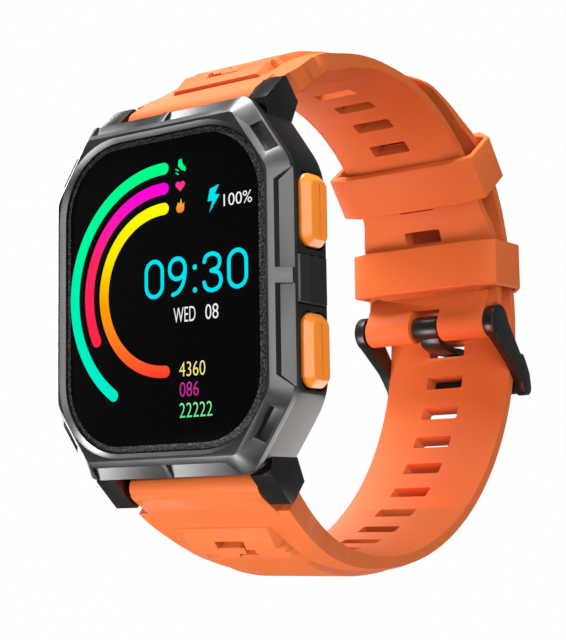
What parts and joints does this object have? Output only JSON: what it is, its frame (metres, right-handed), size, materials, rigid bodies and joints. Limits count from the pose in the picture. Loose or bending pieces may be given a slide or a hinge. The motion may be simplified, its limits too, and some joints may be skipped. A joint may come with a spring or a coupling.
{
  "type": "gps running watch",
  "caption": "Rectangular running watch with a rubber buckle strap closed in a loop, side buttons and a sensor window on the back.",
  "frame": {"origin": "middle of the flat outer face of the sensor window, where the watch rests on the wrist", "axes": "+Z to twelve o'clock, +X to the button side (three o'clock), +Y from the sensor window into the wrist, so the display looks along -Y"},
  "size_m": [0.0417, 0.0796, 0.0772],
  "materials": {
    "bezel_metal": "satin gunmetal, lightly brushed edges",
    "case_metal": "satin gunmetal with polished corner flats",
    "buckle_metal": "semi-gloss black",
    "steel": "turned steel",
    "gold_contact": "gold plated",
    "strap_rubber": "matte moulded orange silicone rubber",
    "button_plastic": "satin orange, semi-gloss",
    "black_plastic": "fine moulded grain",
    "guard_plastic": "semi-gloss black",
    "cover_glass": "polished black glass",
    "sensor_glass": "polished dark window",
    "display": "dark display panel",
    "board_green": "solder mask",
    "cell_foil": "foil pouch",
    "flex_amber": "polyimide film",
    "seal_rubber": "soft black seal",
    "antenna_ceramic": "fired ceramic"
  },
  "bodies": {
    "watch": {"front_bezel": "bezel_metal", "cover_glass": "cover_glass", "glass_gasket": "seal_rubber", "display_panel": "display", "mid_case": "case_metal", "case_back": "black_plastic", "back_gasket": "seal_rubber", "sensor_window": "sensor_glass", "sensor_board": "board_green", "charging_contact_1": "gold_contact", "charging_contact_2": "gold_contact", "inner_chassis": "black_plastic", "main_board": "board_green", "display_flex": "flex_amber", "battery": "cell_foil", "gps_antenna": "antenna_ceramic", "vibration_motor": "steel", "speaker": "black_plastic", "microphone": "steel", "button_board": "board_green", "button_guard": "guard_plastic", "spring_bar_upper": "steel", "spring_bar_lower": "steel", "strap_long": "strap_rubber", "strap_short": "strap_rubber", "buckle_pin": "buckle_metal", "keeper_fixed": "strap_rubber", "back_screw_1": "steel", "back_screw_2": "steel", "back_screw_3": "steel", "back_screw_4": "steel", "button_spring_upper": "steel", "button_seal_upper": "seal_rubber", "button_switch_upper": "black_plastic", "button_spring_lower": "steel", "button_seal_lower": "seal_rubber", "button_switch_lower": "black_plastic"},
    "upper_button": {"button_upper": "button_plastic", "button_stem_upper": "steel", "button_clip_upper": "steel"},
    "lower_button": {"button_lower": "button_plastic", "button_stem_lower": "steel", "button_clip_lower": "steel"},
    "free_keeper": {"keeper_free": "strap_rubber"},
    "buckle": {"buckle_frame": "buckle_metal"},
    "tongue": {"buckle_tongue": "buckle_metal"},
    "motor_rotor": {"motor_weight": "steel"}
  },
  "joints": [
    {"name": "button_upper_press", "type": "slide", "parent": "watch", "child": "upper_button", "axis": [-1, 0, 0], "range_m": [0, 0.00045], "stiffness_N_per_m": 400, "deforming": ["button_spring_upper"]},
    {"name": "button_lower_press", "type": "slide", "parent": "watch", "child": "lower_button", "axis": [-1, 0, 0], "range_m": [0, 0.00045], "stiffness_N_per_m": 400, "deforming": ["button_spring_lower"]},
    {"name": "keeper_slide", "type": "hinge", "parent": "watch", "child": "free_keeper", "pos_m": [0, 0.027, 0.0069], "axis": [1, 0, 0], "range_deg": [-10.5, 24]},
    {"name": "buckle_swing", "type": "hinge", "parent": "watch", "child": "buckle", "pos_m": [0, 0.05517, 0.00117], "axis": [1, 0, 0], "range_deg": [0, 2]},
    {"name": "tongue_swing", "type": "hinge", "parent": "watch", "child": "tongue", "pos_m": [0, 0.05517, 0.00117], "axis": [1, 0, 0], "range_deg": [0, 2]},
    {"name": "motor_spin", "type": "hinge", "parent": "watch", "child": "motor_rotor", "pos_m": [-0.006, -0.00585, 0.0092], "axis": [1, 0, 0], "continuous": true}
  ],
  "couplings": [
    {"joint": "tongue_swing", "follows": "buckle_swing", "ratio": 1}
  ]
}
